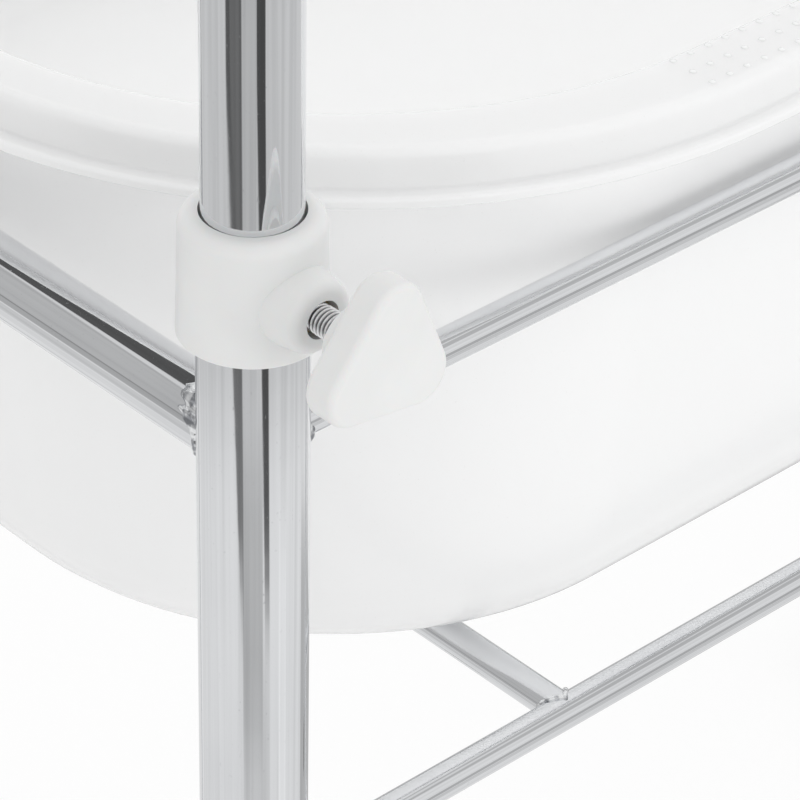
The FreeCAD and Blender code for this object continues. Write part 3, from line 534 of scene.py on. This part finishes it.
def screwThread():
    # radius = crest - depth * flank(turns along the screw - angle / one turn), so the crest
    # climbs one pitch for each turn. The flank rises from 0 on the flat crest to 1 on the flat
    # root, the thread fades in over the lead at the tip, and the tip has the socket for the
    # pad's stem
    screw = {"crest": 3.97, "depth": 0.74, "pitch": 1.25, "crestShare": 0.14, "flankShare": 0.72,
             "lead": 0.9, "edge": 0.05, "socket": 2.05, "socketDeep": 3.1, "columns": 48,
             "perPitch": 14}
    low, high = (np.array(corner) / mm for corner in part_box("clamp_screw"))
    tip, rear, axisZ = -high[1], -low[1], (low[2] + high[2]) / 2
    rows = round((rear - tip) / screw["pitch"] * screw["perPitch"])
    along = np.linspace(tip, rear, rows)[:, None]
    angle = np.linspace(0, 2 * math.pi, screw["columns"], endpoint=False)[None, :]
    turn = (along / screw["pitch"] - angle / (2 * math.pi)) % 1.0
    flank = np.clip((np.abs(2 * turn - 1) - screw["crestShare"]) / screw["flankShare"], 0, 1)
    radius = screw["crest"] - screw["depth"] * flank
    bare = 1 - np.clip((along - tip) / screw["lead"], 0, 1)
    radius = np.minimum(radius, screw["crest"] - screw["depth"] * bare - screw["edge"] * bare)
    full = np.ones_like(angle)
    socketEnd = tip + screw["socketDeep"]
    ends = [(socketEnd, 0.0), (socketEnd, screw["socket"]), (tip + screw["edge"], screw["socket"])]
    radii = np.concatenate([full * r for _, r in ends] + [radius, full * 0.0])
    reach = np.concatenate([full * d for d, _ in ends] + [along * full, full * rear])
    points = np.stack([radii * np.sin(angle), -reach, axisZ + radii * np.cos(angle)], axis=-1) * mm
    meshPiece("screwThread", "clamp_knob",
              [(points, gridFaces(*radii.shape, aroundRows=False))], "clamp_screw",
              finishes["screw_steel"])


screwThread()
print("clamp ready")


def plainFloor():
    # a wide pale floor that keeps the shadow but shows almost white to the camera
    floor = {"half": 30.0, "shade": 0.92, "white": 0.85}
    mesh = bpy.data.meshes.new("floor")
    half = floor["half"]
    mesh.from_pydata([(-half, -half, 0), (half, -half, 0), (half, half, 0), (-half, half, 0)],
                     [], [(0, 1, 2, 3)])
    piece = bpy.data.objects.new("floor", mesh)
    bpy.context.scene.collection.objects.link(piece)
    material = bpy.data.materials.new("paleFloor")
    material.use_nodes = True
    tree = Tree(material.node_tree)
    material.node_tree.nodes.clear()
    matt = tree.node("ShaderNodeBsdfDiffuse", {}, {"Color": (*[floor["shade"]] * 3, 1.0)})
    glow = tree.node("ShaderNodeEmission", {}, {"Color": (1.0, 1.0, 1.0, 1.0), "Strength": 1.0})
    rays = tree.node("ShaderNodeLightPath", output="Is Camera Ray")
    mixed = tree.node("ShaderNodeMixShader", {}, {0: rays * floor["white"], 1: matt, 2: glow})
    tree.node("ShaderNodeOutputMaterial", {}, {"Surface": mixed})
    mesh.materials.append(material)
    piece.visible_glossy = False


def studioWorld():
    # the camera sees white, matt surfaces get an even light, and polished ones see a pale room.
    # Each darker place in it is (turn from, turn to, height from, height to, how dark, narrowing,
    # lean), with the turn in degrees from +X towards +Y, the height as the sine of the elevation,
    # and the last two in degrees of turn per unit of height below that of the lean's start
    room = {"even": 0.94, "leftDim": 0.08, "pale": 0.80, "clutter": 0.07, "clutterScale": 7.0,
            "softTurn": 3.0, "softHeight": 0.03, "firstTurn": -60, "leanFrom": 0.5}
    places = {
        "horizon": (-90, 330, -0.27, -0.07, 0.42, 0, 0),
        "low wall": (-90, 330, -0.55, -0.35, 0.20, 0, 0),
        "left wall": (98, 172, -0.08, 0.66, 0.36, 0, 0),
        "gap overhead": (64, 108, 0.70, 0.79, 0.88, 0, 0),
        "front corner": (-48, -30, 0.50, 0.68, 0.34, 0, 0),
        "front ceiling": (-30, 4, 0.74, 0.80, 0.34, 0, 0),
        "left stand": (173, 205, -0.585, -0.34, 0.74, 140, 170),
        "left stand edge": (172, 179, -0.53, -0.34, 0.40, 0, 400),
        "right stand": (240, 256, -0.585, -0.34, 0.88, 45, 95),
        "between stands": (204, 236, -0.54, -0.36, 0.20, 0, 0),
        "stand feet": (209, 247, -0.61, -0.585, 0.36, 0, 0),
        "floor seam": (210, 262, -0.70, -0.63, 0.16, 0, 0),
        "far floor": (-14, 40, -0.74, -0.60, 0.38, 0, 0),
        "lamp glow": (284, 298, -0.68, -0.60, -0.18, 0, 0)}
    world = bpy.data.worlds.new("studio")
    bpy.context.scene.world = world
    world.use_nodes = True
    world.node_tree.nodes.clear()
    tree = Tree(world.node_tree)
    ray = tree.node("ShaderNodeTexCoord", output="Generated")
    x, y, z = tree.axes(ray)
    turn = x.maths("ARCTAN2", y, x) * (180 / math.pi)
    turn = turn + (turn < room["firstTurn"]) * 360
    below = x.maths("MAXIMUM", z * -1 - room["leanFrom"], 0.0)
    level = room["pale"]
    softTurn, softHeight = room["softTurn"], room["softHeight"]
    for turnFrom, turnTo, heightFrom, heightTo, dark, narrowing, lean in places.values():
        mask = (z.spread(heightFrom - softHeight, heightFrom)
                * z.spread(heightTo, heightTo + softHeight, (1.0, 0.0)))
        if turnTo - turnFrom < 360:
            half = (turnTo - turnFrom) / 2
            across = x.maths("ABSOLUTE", turn - below * lean - (turnFrom + half)) + below * narrowing
            mask = mask * across.spread(half, half + softTurn, (1.0, 0.0))
        level = level * (1 - mask * dark)
    clutter = tree.node("ShaderNodeTexNoise", {}, {"Vector": ray, "Scale": room["clutterScale"],
                                                   "Detail": 4.0}, "Fac")
    level = level * (1 + room["clutter"] - clutter.spread(0.35, 0.70) * room["clutter"] * 2)
    even = room["even"] * (1 - x.spread(-0.9, 0.1, (room["leftDim"], 0.0)))
    glossy = tree.node("ShaderNodeLightPath", output="Is Glossy Ray")
    camera = tree.node("ShaderNodeLightPath", output="Is Camera Ray")
    light = camera + (1 - camera) * (glossy * level + (1 - glossy) * even)
    ground = tree.node("ShaderNodeBackground", {}, {"Color": (1.0, 1.0, 1.0, 1.0), "Strength": light})
    tree.node("ShaderNodeOutputWorld", {}, {"Surface": ground})


def softLamp(name, place, aim, size, power):
    lamp = bpy.data.lights.new(name, "AREA")
    lamp.shape = "SQUARE"
    lamp.size = size
    lamp.energy = power
    holder = bpy.data.objects.new(name, lamp)
    bpy.context.scene.collection.objects.link(holder)
    holder.location = place
    holder.rotation_mode = "QUATERNION"
    holder.rotation_quaternion = (Vector(aim) - Vector(place)).to_track_quat("-Z", "Y")
    holder.visible_glossy = False
    holder.visible_camera = False


def lookFromCorner():
    # yaw from +Y towards +X, pitch down and roll, in degrees
    view = {"place": (-0.5583, -0.6494, 1.3351), "yaw": 43.11, "pitch": 34.21, "roll": 1.24,
            "lens": 189.0}
    yaw, pitch, roll = (math.radians(view[key]) for key in ("yaw", "pitch", "roll"))
    right = Vector((math.cos(yaw), -math.sin(yaw), 0.0))
    ahead = Vector((math.sin(yaw) * math.cos(pitch), math.cos(yaw) * math.cos(pitch), -math.sin(pitch)))
    up = Vector((math.sin(yaw) * math.sin(pitch), math.cos(yaw) * math.sin(pitch), math.cos(pitch)))
    turnedRight = right * math.cos(roll) + up * math.sin(roll)
    turnedUp = up * math.cos(roll) - right * math.sin(roll)
    camera = bpy.data.cameras.new("camera")
    camera.sensor_width = 36.0
    camera.lens = view["lens"]
    camera.clip_start, camera.clip_end = 0.01, 100.0
    holder = bpy.data.objects.new("camera", camera)
    bpy.context.scene.collection.objects.link(holder)
    holder.rotation_mode = "QUATERNION"
    holder.location = view["place"]
    holder.rotation_quaternion = Matrix((turnedRight, turnedUp, -ahead)).transposed().to_quaternion()
    bpy.context.scene.camera = holder


plainFloor()
studioWorld()
softLamp("keyLamp", (-0.5, -3.4, 0.8), (0.2, 0.0, 0.75), 1.5, 12.0)
softLamp("sideLamp", (2.7, -2.3, 1.2), (0.1, 0.0, 0.75), 1.4, 6.0)
softLamp("topLamp", (0.8, 1.0, 3.2), (0.4, 0.2, 0.75), 2.4, 9.5)
lookFromCorner()
bpy.context.scene.view_settings.view_transform = "Standard"
print("room ready")
